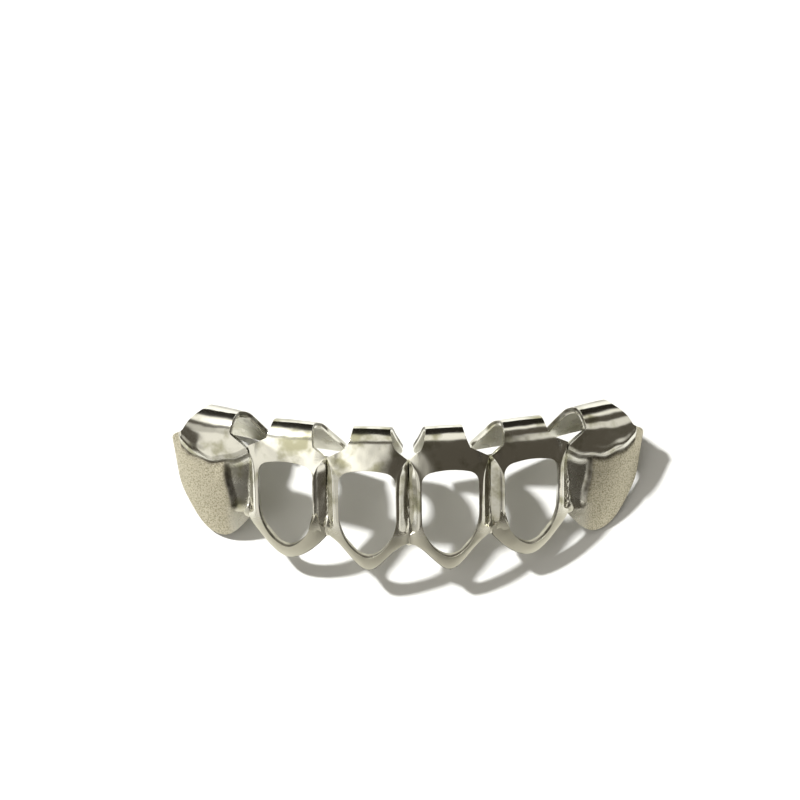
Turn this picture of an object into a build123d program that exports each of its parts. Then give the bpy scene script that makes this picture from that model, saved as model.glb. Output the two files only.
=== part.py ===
from build123d import *
from dataclasses import dataclass
import math
import os

# Arch of the bar: widths of the caps between their contacts, and how far each cap is turned
central_width = 6.2
lateral_width = 6.25
canine_width = 6.85
central_turn = 6.3
lateral_turn = 17.5
canine_turn = 31.0

# Heights of the caps, and how far their gingival points and contacts stand above the lowest point
central_height = 11.4
lateral_height = 10.85
canine_height = 9.95
lateral_tip_rise = 0.7
canine_tip_rise = 1.75
canine_tip_shift = 1.16
central_contact_rise = 2.65
lateral_contact_rise = 1.95
canine_contact_rise = 2.2
canine_flank_rise = 6.8
canine_flank_edge = 0.55
contact_top = 9.0
canine_contact_top = 9.35

# Walls and the curve of the fronts
wall = 0.75
plate_wall = 0.6
side_wall = 0.62
front_bulge = 1.2
front_crown = 0.55
canine_crown = 0.95
contact_depth = 1.4
contact_overlap = 0.09

# Side profile of the hook: lean from upright in degrees, and radii
tip_lean = 14.0
brow_lean = -12.0
fold_lean = -50.0
plate_lean = -140.0
brow_radius = 2.6
fold_radius = 1.35
plate_length = 3.2

# Tab over the biting edge, its shoulders, and the plate behind it
tab_base_width = 3.75
tab_top_width = 2.8
lateral_tab_top_width = 3.2
canine_tab_width = 2.95
tab_shift = 0.27
canine_tab_shift = 0.45
shoulder_rise = 1.05
canine_shoulder_reach = 2.85
plate_spread = 0.45
lateral_plate_spread = 1.35
canine_plate_spread = 0.95
plate_corner = 0.8

# Windows in the four incisor caps
window_width = 4.4
window_bottom = 1.2
lateral_window_bottom = 1.0
window_height = 7.2
lateral_window_height = 7.05
window_corner = 0.9
window_arch = 0.14

# Grooves and solder seams between the caps
groove_reach = 1.05
canine_groove_reach = 1.75
groove_floor_width = 0.34
groove_depth = 0.95
central_groove_foot = 3.2
lateral_groove_foot = 3.5
canine_groove_foot = 4.2
seam_radius = 0.22

# Sunk panel on the front of each canine cap, under its hood
panel_depth = 0.13
panel_margin = 1.25
hood_line = 8.0
hood_rise = 0.75

# Furthest that the fronts may lean, in degrees, when the bar lies on its back
steepest_rest = 60.0

# Room that the cutting solids take past the metal
tool_room = 3.0


@dataclass
class Cap:
    """Sizes of one cap: u runs away from the middle of the bar, z towards the biting edge."""

    width: float
    turn: float
    centre: tuple
    tip: tuple
    height: float
    inner_bottom: float
    outer_bottom: float
    inner_top: float
    outer_top: float
    inner_tab: float
    outer_tab: float
    inner_shoulder: float
    outer_shoulder: float
    plate_spread: float
    crown: float

    @property
    def half(self):
        return self.width / 2 + contact_overlap

    @property
    def top(self):
        return self.tip[1] + self.height


def rad(angle):
    return math.radians(angle)


def step_along(point, width, turn):
    return (point[0] + width * math.cos(rad(turn)), point[1] + width * math.sin(rad(turn)))


def middle_of(a, b):
    return ((a[0] + b[0]) / 2, (a[1] + b[1]) / 2)


def plan_contacts():
    """Points in plan where the caps of one side touch, from the middle of the bar outwards."""
    first = (0.0, 0.0)
    second = step_along(first, central_width, central_turn)
    third = step_along(second, lateral_width, lateral_turn)
    last = step_along(third, canine_width, canine_turn)
    return first, second, third, last


def make_caps():
    """The three caps of one side, from the middle of the bar outwards."""
    first, second, third, last = plan_contacts()
    lateral_bottom = lateral_tip_rise + lateral_contact_rise
    canine_bottom = canine_tip_rise + canine_contact_rise
    base = tab_base_width / 2
    crest = tab_top_width / 2
    lateral_crest = lateral_tab_top_width / 2
    canine_crest = canine_tab_width / 2
    central = Cap(
        width=central_width, turn=central_turn, centre=middle_of(first, second),
        tip=(0.0, 0.0), height=central_height,
        inner_bottom=central_contact_rise, outer_bottom=lateral_bottom,
        inner_top=contact_top, outer_top=contact_top,
        inner_tab=tab_shift + crest, outer_tab=crest - tab_shift,
        inner_shoulder=tab_shift + base, outer_shoulder=base - tab_shift,
        plate_spread=plate_spread, crown=front_crown,
    )
    lateral = Cap(
        width=lateral_width, turn=lateral_turn, centre=middle_of(second, third),
        tip=(0.0, lateral_tip_rise), height=lateral_height,
        inner_bottom=lateral_bottom, outer_bottom=canine_bottom,
        inner_top=contact_top, outer_top=canine_contact_top,
        inner_tab=tab_shift + lateral_crest, outer_tab=lateral_crest - tab_shift,
        inner_shoulder=tab_shift + base, outer_shoulder=base - tab_shift,
        plate_spread=lateral_plate_spread, crown=front_crown,
    )
    canine = Cap(
        width=canine_width, turn=canine_turn, centre=middle_of(third, last),
        tip=(-canine_tip_shift, canine_tip_rise), height=canine_height,
        inner_bottom=canine_bottom, outer_bottom=canine_tip_rise + canine_flank_rise,
        inner_top=canine_contact_top,
        outer_top=canine_tip_rise + canine_flank_rise + canine_flank_edge,
        inner_tab=canine_tab_shift + canine_crest, outer_tab=canine_crest - canine_tab_shift,
        inner_shoulder=canine_tab_shift + canine_crest, outer_shoulder=canine_shoulder_reach,
        plate_spread=canine_plate_spread, crown=canine_crown,
    )
    return central, lateral, canine


def outward(angle):
    """Outward direction (y, z) of the hook's surface where it leans by angle."""
    return (-math.cos(rad(angle)), -math.sin(rad(angle)))


def on_arc(centre, radius, angle):
    direction = outward(angle)
    return (centre[0] + radius * direction[0], centre[1] + radius * direction[1])


def between(start, end, share):
    return start + (end - start) * share


def hook_path(cap):
    """Stations along the hook's outer surface: y, z, lean, and how far it has become a plate."""
    brow_gain = brow_radius * (math.sin(rad(-fold_lean)) - math.sin(rad(-brow_lean)))
    fold_gain = fold_radius * (1 - math.sin(rad(-fold_lean)))
    face_lean = math.sin(rad(tip_lean)) + math.sin(rad(-brow_lean))
    face_radius = (cap.height - brow_gain - fold_gain) / face_lean
    face = (face_radius - front_bulge, cap.tip[1] + face_radius * math.sin(rad(tip_lean)))
    stations = []
    for share, plated in ((-0.16, 0.0), (0.3, 0.0), (0.65, 0.1), (1.0, 0.35)):
        angle = between(tip_lean, brow_lean, share)
        stations.append((*on_arc(face, face_radius, angle), angle, plated))
    brow = on_arc(on_arc(face, face_radius, brow_lean), -brow_radius, brow_lean)
    for share, plated in ((0.5, 0.6), (1.0, 0.85)):
        angle = between(brow_lean, fold_lean, share)
        stations.append((*on_arc(brow, brow_radius, angle), angle, plated))
    fold = on_arc(on_arc(brow, brow_radius, fold_lean), -fold_radius, fold_lean)
    for share in (0.33, 0.67, 1.0):
        angle = between(fold_lean, plate_lean, share)
        stations.append((*on_arc(fold, fold_radius, angle), angle, 1.0))
    y, z, angle, plated = stations[-1]
    y_end = y - plate_length * math.sin(rad(angle))
    z_end = z + plate_length * math.cos(rad(angle))
    for share in (0.5, 1.0):
        stations.append((between(y, y_end, share), between(z, z_end, share), angle, plated))
    return stations, fold[0]


def section(cap, station, inset):
    """One closed section across the hook: outer arc, contact walls and inner arc."""
    y, z, angle, plated = station
    metal = between(wall, plate_wall, plated)
    crown = cap.crown * between(1.0, 0.2, plated)
    inner_end = metal + crown / 2
    back = max(crown + between(contact_depth, metal, plated), inner_end)
    half = cap.half
    inner_half = cap.width / 2 - side_wall
    heel = inner_half + side_wall / 3
    plane = Plane(
        origin=(0, y, z),
        x_dir=(1, 0, 0),
        z_dir=(0, math.sin(rad(angle)), -math.cos(rad(angle))),
    )
    corners = [
        (-half, -crown - inset),
        (half, -crown - inset),
        (half, -back),
        (heel, -back),
        (inner_half, -inner_end),
        (-inner_half, -inner_end),
        (-heel, -back),
        (-half, -back),
    ]
    edges = [
        ThreePointArc(corners[0], (0, -inset), corners[1]),
        Line(corners[1], corners[2]),
        Line(corners[2], corners[3]),
        Line(corners[3], corners[4]),
        ThreePointArc(corners[4], (0, -metal), corners[5]),
        Line(corners[5], corners[6]),
        Line(corners[6], corners[7]),
        Line(corners[7], corners[0]),
    ]
    return plane * make_face(edges)


def hook(cap, inset=0.0):
    """The whole folded sheet of a cap, lofted face, brow, fold and plate, before it is cut."""
    stations, _ = hook_path(cap)
    sections = [section(cap, station, inset) for station in stations]
    lengths = (sections[0:4], sections[3:6], sections[5:9], sections[8:11])
    sheet = loft(lengths[0])
    for length in lengths[1:]:
        sheet = sheet + loft(length)
    return sheet


def prism(edges, y_front, y_back):
    """Solid from an outline drawn in width and height, between two depths."""
    plane = Plane(origin=(0, y_back, 0), x_dir=(1, 0, 0), z_dir=(0, -1, 0))
    return extrude(plane * make_face(edges), amount=y_back - y_front)


def outline_through(points):
    return [Line(a, b) for a, b in zip(points, points[1:])]


def front_outline(cap):
    """Front view of a cap: gingival point, contacts, shoulders and tab."""
    half = cap.half
    tip_u, tip_z = cap.tip
    inner_mid = (between(tip_u, -half, 0.62), between(tip_z, cap.inner_bottom, 0.36))
    outer_mid = (between(tip_u, half, 0.62), between(tip_z, cap.outer_bottom, 0.36))
    inner_bottom = (-half, cap.inner_bottom)
    outer_bottom = (half, cap.outer_bottom)
    top = cap.top + tool_room
    sides = outline_through([
        outer_bottom,
        (half, cap.outer_top),
        (cap.outer_shoulder, cap.outer_top + shoulder_rise),
        (cap.outer_tab, cap.top),
        (cap.outer_tab, top),
        (-cap.inner_tab, top),
        (-cap.inner_tab, cap.top),
        (-cap.inner_shoulder, cap.inner_top + shoulder_rise),
        (-half, cap.inner_top),
        inner_bottom,
    ])
    foot = [
        ThreePointArc(inner_bottom, inner_mid, cap.tip),
        ThreePointArc(cap.tip, outer_mid, outer_bottom),
    ]
    return foot + sides


def plate_outline(cap, stations):
    """Front view of the tab behind the fold and the plate, with its rounded lower corners."""
    low = stations[-1][1] - plate_wall / 2
    top = cap.top + tool_room
    inner = cap.inner_tab + cap.plate_spread
    outer = cap.outer_tab + plate_spread
    corner = plate_corner
    slant = corner * (1 - math.sqrt(0.5))
    return outline_through([
        (outer, low + corner),
        (cap.outer_tab, cap.top),
        (cap.outer_tab, top),
        (-cap.inner_tab, top),
        (-cap.inner_tab, cap.top),
        (-inner, low + corner),
    ]) + [
        ThreePointArc((-inner, low + corner), (slant - inner, low + slant), (corner - inner, low)),
        Line((corner - inner, low), (outer - corner, low)),
        ThreePointArc((outer - corner, low), (outer - slant, low + slant), (outer, low + corner)),
    ]


def window_outline(cap, bottom, height):
    """Outline of a window: rounded top corners, arched top and a narrower rounded foot."""
    half = window_width / 2
    low = cap.tip[1] + bottom
    high = low + height
    bend = between(low, high, 0.42)
    curve = between(low, bend, 0.3)
    corner = window_corner
    slant = corner * (1 - math.sqrt(0.5))
    brow = high - window_arch
    return [
        ThreePointArc((-half, bend), (-0.7 * half, curve), (0, low)),
        ThreePointArc((0, low), (0.7 * half, curve), (half, bend)),
        Line((half, bend), (half, brow - corner)),
        ThreePointArc((half, brow - corner), (half - slant, brow - slant), (half - corner, brow)),
        ThreePointArc((half - corner, brow), (0, high), (corner - half, brow)),
        ThreePointArc((corner - half, brow), (slant - half, brow - slant), (-half, brow - corner)),
        Line((-half, brow - corner), (-half, bend)),
    ]


def panel_outline(cap):
    """Outline of the sunk panel on a canine cap, below the wavy line of its hood."""
    inner = -cap.half + panel_margin
    outer = cap.half + tool_room
    foot = cap.tip[1] - tool_room
    hood = (between(inner, cap.half, 0.4), hood_line)
    return [
        Line((inner, foot), (outer, foot)),
        Line((outer, foot), (outer, hood_line + hood_rise)),
        ThreePointArc((outer, hood_line + hood_rise), hood, (inner, hood_line + hood_rise)),
        Line((inner, hood_line + hood_rise), (inner, foot)),
    ]


def make_cap(cap, window=None):
    """One cap, built square to the picture and then turned to its place on the arch."""
    stations, fold_y = hook_path(cap)
    front = prism(front_outline(cap), -front_bulge - tool_room, fold_y)
    back = prism(plate_outline(cap, stations), fold_y, stations[-1][0] + tool_room)
    body = hook(cap) & (front + back)
    if window:
        body = body - prism(window_outline(cap, *window), -front_bulge - tool_room, fold_y)
    else:
        room = prism(panel_outline(cap), -front_bulge - tool_room, fold_y)
        body = body - (room - hook(cap, panel_depth))
    place = Location((cap.centre[0], cap.centre[1], 0), (0, 0, cap.turn))
    return place * body


def groove(point, turn, inner_reach, outer_reach, foot):
    """Channel cut down to the contact between two caps, from its foot to past the top."""
    floor = groove_floor_width / 2
    rim = front_bulge - front_crown / 2
    deep = rim - groove_depth
    past = rim + tool_room
    spread = (past - deep) / groove_depth
    points = [
        (-floor, -deep),
        (floor, -deep),
        (between(floor, outer_reach, spread), -past),
        (-between(floor, inner_reach, spread), -past),
        (-floor, -deep),
    ]
    channel = extrude(make_face(outline_through(points)), amount=canine_contact_top + tool_room - foot)
    return Location((point[0], point[1], foot), (0, 0, turn)) * channel


def seam(point, turn, foot, top):
    """Raised bead of solder that stands on the floor of a groove."""
    deep = front_bulge - front_crown / 2 - groove_depth
    bead = Cylinder(seam_radius, top - foot, align=(Align.CENTER, Align.CENTER, Align.MIN))
    return Location((point[0], point[1], foot), (0, 0, turn)) * (Location((0, -deep, 0)) * bead)


def half_bar():
    """The three caps of one side with their grooves and the two seams between them."""
    central, lateral, canine = make_caps()
    _, second, third, _ = plan_contacts()
    bar = make_cap(central, (window_bottom, window_height))
    bar = bar + make_cap(lateral, (lateral_window_bottom, lateral_window_height))
    bar = bar + make_cap(canine)
    outer_turn = (central_turn + lateral_turn) / 2
    canine_side = (lateral_turn + canine_turn) / 2
    bar = bar - groove(second, outer_turn, groove_reach, groove_reach, lateral_groove_foot)
    bar = bar - groove(third, canine_side, groove_reach, canine_groove_reach, canine_groove_foot)
    bar = bar + seam(second, outer_turn, lateral_groove_foot - seam_radius, contact_top - seam_radius)
    bar = bar + seam(third, canine_side, canine_groove_foot - seam_radius, contact_top - seam_radius)
    return bar


def whole_bar():
    """Both sides joined at the middle seam: one solid of metal."""
    right = half_bar()
    bar = right + mirror(right, about=Plane.YZ)
    bar = bar - groove((0, 0), 0, groove_reach, groove_reach, central_groove_foot)
    return bar + seam((0, 0), 0, central_groove_foot - seam_radius, contact_top - seam_radius)


def turned(point, angle):
    y, z = point
    cos, sin = math.cos(angle), math.sin(angle)
    return (y * cos - z * sin, y * sin + z * cos)


def hull_of(points):
    """Convex outline of side-view points, counter-clockwise from the one with least y."""
    ordered = sorted(set(points))

    def chain(sequence):
        kept = []
        for p in sequence:
            while len(kept) > 1:
                (ay, az), (by, bz) = kept[-2], kept[-1]
                if (by - ay) * (p[1] - az) - (bz - az) * (p[0] - ay) > 0:
                    break
                kept.pop()
            kept.append(p)
        return kept

    return chain(ordered)[:-1] + chain(ordered[::-1])[:-1]


def resting_turn(bar):
    """Turn about X, in degrees, that lays the bar on its back as it rests by itself."""
    vertices, _ = bar.tessellate(0.05)
    outline = hull_of([(v.Y, v.Z) for v in vertices])
    heart = bar.center(CenterOf.MASS)
    stands = []
    for a, b in zip(outline, outline[1:] + outline[:1]):
        angle = -math.atan2(b[1] - a[1], b[0] - a[0])
        low_y, low_z = turned(a, angle)
        high_y = turned(b, angle)[0]
        heart_y, heart_z = turned((heart.Y, heart.Z), angle)
        if low_y < heart_y < high_y and abs(angle) < rad(steepest_rest):
            stands.append((heart_z - low_z, angle))
    return math.degrees(min(stands)[1])


def lay_down(bar):
    """The bar on its back: outer fronts up, biting edges towards +Y, lowest point at z = 0."""
    lying = Rotation(-90, 0, 0) * bar
    lying = Rotation(resting_turn(lying), 0, 0) * lying
    box = lying.bounding_box()
    return Pos(-box.center().X, -box.center().Y, -box.min.Z) * lying


def main():
    os.makedirs("parts", exist_ok=True)
    grill = lay_down(whole_bar())
    export_step(grill, "parts/six_tooth_grill.step")


if __name__ == "__main__":
    main()
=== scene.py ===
"""Looks of a grillz tooth cover for six lower teeth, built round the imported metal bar."""

from __future__ import annotations

import logging
import math
from collections.abc import Callable
from dataclasses import dataclass
from enum import Enum, IntEnum
from itertools import accumulate
from typing import ClassVar

import bmesh
import bpy
from mathutils import Matrix, Vector, noise

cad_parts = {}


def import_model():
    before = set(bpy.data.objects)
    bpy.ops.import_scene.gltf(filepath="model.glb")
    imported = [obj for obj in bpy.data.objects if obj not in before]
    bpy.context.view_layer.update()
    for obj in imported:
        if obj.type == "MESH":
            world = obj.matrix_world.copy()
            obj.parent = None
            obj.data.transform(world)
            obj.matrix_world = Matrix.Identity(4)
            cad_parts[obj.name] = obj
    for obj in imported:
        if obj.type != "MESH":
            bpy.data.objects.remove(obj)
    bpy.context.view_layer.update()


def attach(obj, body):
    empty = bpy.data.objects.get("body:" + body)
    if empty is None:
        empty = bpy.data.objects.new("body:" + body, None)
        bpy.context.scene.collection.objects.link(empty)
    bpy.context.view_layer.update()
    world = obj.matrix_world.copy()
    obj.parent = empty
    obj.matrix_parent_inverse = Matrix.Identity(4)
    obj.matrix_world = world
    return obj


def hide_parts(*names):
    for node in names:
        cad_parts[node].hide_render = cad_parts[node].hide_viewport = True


logging.basicConfig(level=logging.INFO, format="%(message)s")
log = logging.getLogger("scene")

Piece = bpy.types.Object
Pair = tuple[float, float]
Triple = tuple[float, float, float]

MM = 0.001
NODE = "six_tooth_grill"
# Looks that each point keeps: satin finish, blasting, and a darkness that is painted shade on the caps and
# dark solder on the seams
LOOKS = ("satin", "blast", "patina")
# Thickness of the sheets, and how far neighbouring caps overlap at their contacts, in millimetres
THICKNESS = 0.6
OVERLAP = 0.09
# Turn in degrees that lays the upright bar on its back, and then the y and z that become the origin
LYING_TURN = 32.98
ORIGIN_BACK = 6.47
ORIGIN_UP = -2.30


class Side(Enum):
    """The two sides of the bar, as seen from the front."""

    RIGHT = 1.0
    LEFT = -1.0


class Ring(IntEnum):
    """The rings that an open cap is grown in, where the tab's further rows follow its first one."""

    WINDOW = 0
    MIDDLE = 1
    RIM = 2
    WALL_FOOT = 3
    FLANGE = 4
    TAB = 5
    WALL_TOP = 30
    WALL_LOW = 31


class Step(IntEnum):
    """Last steps, counted from the gingival point, of the stretches of an open cap's rim and window."""

    CHIN = 5
    NOTCH = 7
    GROOVE = 14
    SHOULDER = 18
    WINDOW_FOOT = 8
    WINDOW_SIDE = 13
    WINDOW_CORNER = 17
    TOP = 21


def between(start: float, end: float, share: float) -> float:
    """The value a share of the way from start to end."""
    return start + (end - start) * share


def ramp(value: float, low: float, high: float) -> float:
    """A smooth rise from 0 at low to 1 at high."""
    share = min(max((value - low) / (high - low), 0.0), 1.0)
    return share * share * (3.0 - 2.0 * share)


def ramp_by(value: float, mark: float, span: Pair) -> float:
    """A smooth rise from 0 to 1 over a span that is told from a mark."""
    return ramp(value, mark + span[0], mark + span[1])


def hump(value: float, middle: float, width: float) -> float:
    """A smooth hump that is 1 at its middle."""
    return math.exp(-(((value - middle) / width) ** 2))


def sine(lean: float) -> float:
    """Sine of a lean in degrees."""
    return math.sin(math.radians(lean))


@dataclass(frozen=True)
class Hook:
    """Side profile that a cap's sheet is folded to: face, brow, fold and plate.

    Lengths are in millimetres and leans are in degrees from upright. Run is the length
    along the outer surface from the gingival point.
    """

    height: float
    rise: float
    crown: float
    half: float
    bulge: float = 1.2
    tip_lean: float = 14.0
    brow_lean: float = -12.0
    fold_lean: float = -50.0
    plate_lean: float = -140.0
    brow_radius: float = 2.6
    fold_radius: float = 1.35
    plate_length: float = 3.2
    heel: float = 0.12
    plate_flatness: float = 0.8
    plate_thinning: float = 0.2
    # Runs past the top of the fold at which the heel starts, is full, wanes and ends
    HEEL_RUNS: ClassVar[tuple[float, ...]] = (-0.45, 0.3, 0.5, 1.6)

    @property
    def face_radius(self) -> float:
        """Radius of the gently rounded front."""
        brow = self.brow_radius * (sine(-self.fold_lean) - sine(-self.brow_lean))
        fold = self.fold_radius * (1 - sine(-self.fold_lean))
        return (self.height - brow - fold) / (sine(self.tip_lean) + sine(-self.brow_lean))

    def arcs(self) -> list[tuple[float, float, float, float, float]]:
        """The three arcs of the profile.

        Returns:
            For each arc the y and z of its middle, its radius, and its first and last lean in radians.
        """
        leans = [math.radians(v) for v in (self.tip_lean, self.brow_lean, self.fold_lean, self.plate_lean)]
        radii = (self.face_radius, self.brow_radius, self.fold_radius)
        y = self.face_radius - self.bulge
        z = self.rise + self.face_radius * math.sin(leans[0])
        found = []
        for i, radius in enumerate(radii):
            found.append((y, z, radius, leans[i], leans[i + 1]))
            if i < 2:
                step = radius - radii[i + 1]
                y -= step * math.cos(leans[i + 1])
                z -= step * math.sin(leans[i + 1])
        return found

    @property
    def marks(self) -> tuple[float, float, float, float]:
        """Runs at the ends of the face, the brow, the fold and the plate."""
        face, brow, fold = accumulate(radius * (start - end) for _, _, radius, start, end in self.arcs())
        return face, brow, fold, fold + self.plate_length

    @property
    def crest(self) -> float:
        """Run at the top of the fold."""
        return self.marks[1] + self.fold_radius * math.radians(90.0 + self.fold_lean)

    def at(self, run: float) -> Triple:
        """The outer surface at a run.

        Args:
            run: Length along the surface from the gingival point.

        Returns:
            Depth y, height z and lean in radians.
        """
        left = run
        for y, z, radius, start, end in self.arcs():
            if left <= radius * (start - end):
                lean = start - left / radius
                return y - radius * math.cos(lean), z - radius * math.sin(lean), lean
            left -= radius * (start - end)
        y -= radius * math.cos(end) + left * math.sin(end)
        z -= radius * math.sin(end) - left * math.cos(end)
        return y, z, end

    def run_to(self, height: float) -> float:
        """Finds a height on the way up to the top of the fold.

        Args:
            height: Height above the lowest point.

        Returns:
            The run at which the outer surface reaches it.
        """
        total = 0.0
        for y, z, radius, start, end in self.arcs():
            top = max(end, math.radians(-90.0))
            if height <= z - radius * math.sin(top):
                lean = math.asin(min(max((z - height) / radius, -1.0), 1.0))
                return total + radius * (start - lean)
            total += radius * (start - end)
        return self.crest

    def bend(self, u: float, run: float, depth: float) -> Vector:
        """Folds one point of the flat sheet.

        Args:
            u: Distance across the cap from its middle.
            run: Length along the sheet from the gingival point.
            depth: Height above the outer surface, negative inside the metal.

        Returns:
            The folded point: across, back and up.
        """
        y, z, lean = self.at(run)
        marks = self.marks
        plated = ramp(run, 0.55 * marks[0], marks[1])
        crown = self.crown * (1.0 - self.plate_flatness * plated)
        start, full, wane, end = (self.crest + past for past in self.HEEL_RUNS)
        heel = self.heel * ramp(run, start, full) * (1.0 - ramp(run, wane, end))
        lift = depth * (1.0 - self.plate_thinning * plated) - crown * (u / self.half) ** 2
        lift -= heel * max(1.0 + depth / THICKNESS, 0.0)
        return Vector((u, y - lift * math.cos(lean), z - lift * math.sin(lean)))


@dataclass(frozen=True)
class Flank:
    """One side of a cap: heights of its notch, groove and contact, and reach of its tab.

    Shoulder and crest are the tab's reach at its foot and at the fold, and spread is what the plate
    gains by its end, the later the larger its flare. Corner rounds that end. Chin is 0 for a round
    chin and 1 for a pointed one with a web beside it. Groove is the rim's distance from the contact.
    """

    notch: float
    foot: float
    top: float
    shoulder: float
    crest: float
    spread: float
    chin: float = 0.0
    corner: float = 0.8
    groove: float = 0.62
    flare: float = 1.3


class Sheet:
    """A sheet of metal grown ring by ring in edit mode, flat, before it is folded."""

    def __init__(self, name: str, columns: int) -> None:
        """Adds the first ring.

        Args:
            name: Name of the piece.
            columns: Points round the ring.
        """
        deselect_all()
        bpy.ops.mesh.primitive_circle_add(vertices=columns, radius=1.0, fill_type="NOTHING")
        self.piece = just_added(name)
        bpy.ops.object.mode_set(mode="EDIT")
        bpy.ops.mesh.select_mode(type="EDGE")
        mesh = self.edited()
        column = mesh.verts.layers.int.new("column")
        ring = mesh.verts.layers.int.new("ring")
        for i, point in enumerate(mesh.verts):
            point[column] = i
            point[ring] = 0

    def edited(self) -> bmesh.types.BMesh:
        """The mesh in edit mode."""
        return bmesh.from_edit_mesh(self.piece.data)

    def place(self, number: int, spot: Callable[[int], Vector]) -> None:
        """Moves the selected points to their places.

        Args:
            number: Number that the ring of selected points is given.
            spot: Gives the place of a column's point.
        """
        mesh = self.edited()
        column = mesh.verts.layers.int["column"]
        ring = mesh.verts.layers.int["ring"]
        for point in mesh.verts:
            if point.select:
                point.co = spot(point[column])
                point[ring] = number
        bmesh.update_edit_mesh(self.piece.data)

    def grow(self, source: int, number: int, columns: set[int], spot: Callable[[int], Vector]) -> None:
        """Extrudes part of a ring and places the new points.

        Args:
            source: Ring that is extruded.
            number: Number of the new ring.
            columns: Columns that the new ring has.
            spot: Gives the place of a column's point.
        """
        bpy.ops.mesh.select_all(action="DESELECT")
        mesh = self.edited()
        column = mesh.verts.layers.int["column"]
        ring = mesh.verts.layers.int["ring"]
        for edge in mesh.edges:
            edge.select_set(all(p[ring] == source and p[column] in columns for p in edge.verts))
        bmesh.update_edit_mesh(self.piece.data)
        bpy.ops.mesh.extrude_edges_move()
        self.place(number, spot)

    def close(self) -> Piece:
        """Finishes the sheet and gives it out."""
        face_outwards(self.piece)
        return self.piece


def deselect_all() -> None:
    """Leaves nothing selected."""
    for piece in list(bpy.context.selected_objects):
        piece.select_set(False)


def just_added(name: str) -> Piece:
    """Names the object that was just added, and gives it out."""
    bpy.context.active_object.name = bpy.context.active_object.data.name = name
    return bpy.context.active_object


def face_outwards(piece: Piece) -> None:
    """Turns a flat sheet's faces up, which is outwards, and leaves edit mode.

    Args:
        piece: The sheet, in edit mode.
    """
    bpy.ops.mesh.select_all(action="SELECT")
    bpy.ops.mesh.normals_make_consistent(inside=False)
    mesh = bmesh.from_edit_mesh(piece.data)
    if sum(face.normal.z * face.calc_area() for face in mesh.faces) < 0:
        bpy.ops.mesh.flip_normals()
    bpy.ops.object.mode_set(mode="OBJECT")


def apply_modifier(piece: Piece, kind: str, **settings: object) -> None:
    """Adds one modifier with its settings and applies it.

    Args:
        piece: Object that gets the modifier.
        kind: Type of the modifier.
        settings: Its properties by name.
    """
    added = piece.modifiers.new(kind.lower(), kind)
    for key, value in settings.items():
        setattr(added, key, value)
    bpy.context.view_layer.objects.active = piece
    bpy.ops.object.modifier_apply(modifier=added.name)


def write_looks(piece: Piece, looks: list[Triple]) -> None:
    """Keeps how satin, how blasted and how dark each point is, for the metal's material."""
    for name, values in zip(LOOKS, zip(*looks)):
        piece.data.attributes.new(name, "FLOAT", "POINT").data.foreach_set("value", values)


def set_down(piece: Piece, at: Pair, turn: float, side: Side) -> None:
    """Puts a piece in its place on the lying bar and takes it from millimetres to metres.

    Args:
        piece: The piece, upright and round its own middle.
        at: Its place in plan, on the right half of the arch.
        turn: How far it is turned there, in degrees.
        side: Side of the bar. The left one is mirrored.
    """
    place = Matrix.Translation((*at, 0.0)) @ Matrix.Rotation(math.radians(turn), 4, "Z")
    up, back = sine(LYING_TURN), math.cos(math.radians(LYING_TURN))
    for point in piece.data.vertices:
        spot = place @ point.co
        point.co = Vector((
            spot.x * side.value,
            spot.z * back + spot.y * up - ORIGIN_BACK,
            spot.z * up - spot.y * back - ORIGIN_UP,
        )) * MM
    if side is Side.LEFT:
        piece.data.flip_normals()
    piece.data.update()


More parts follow.
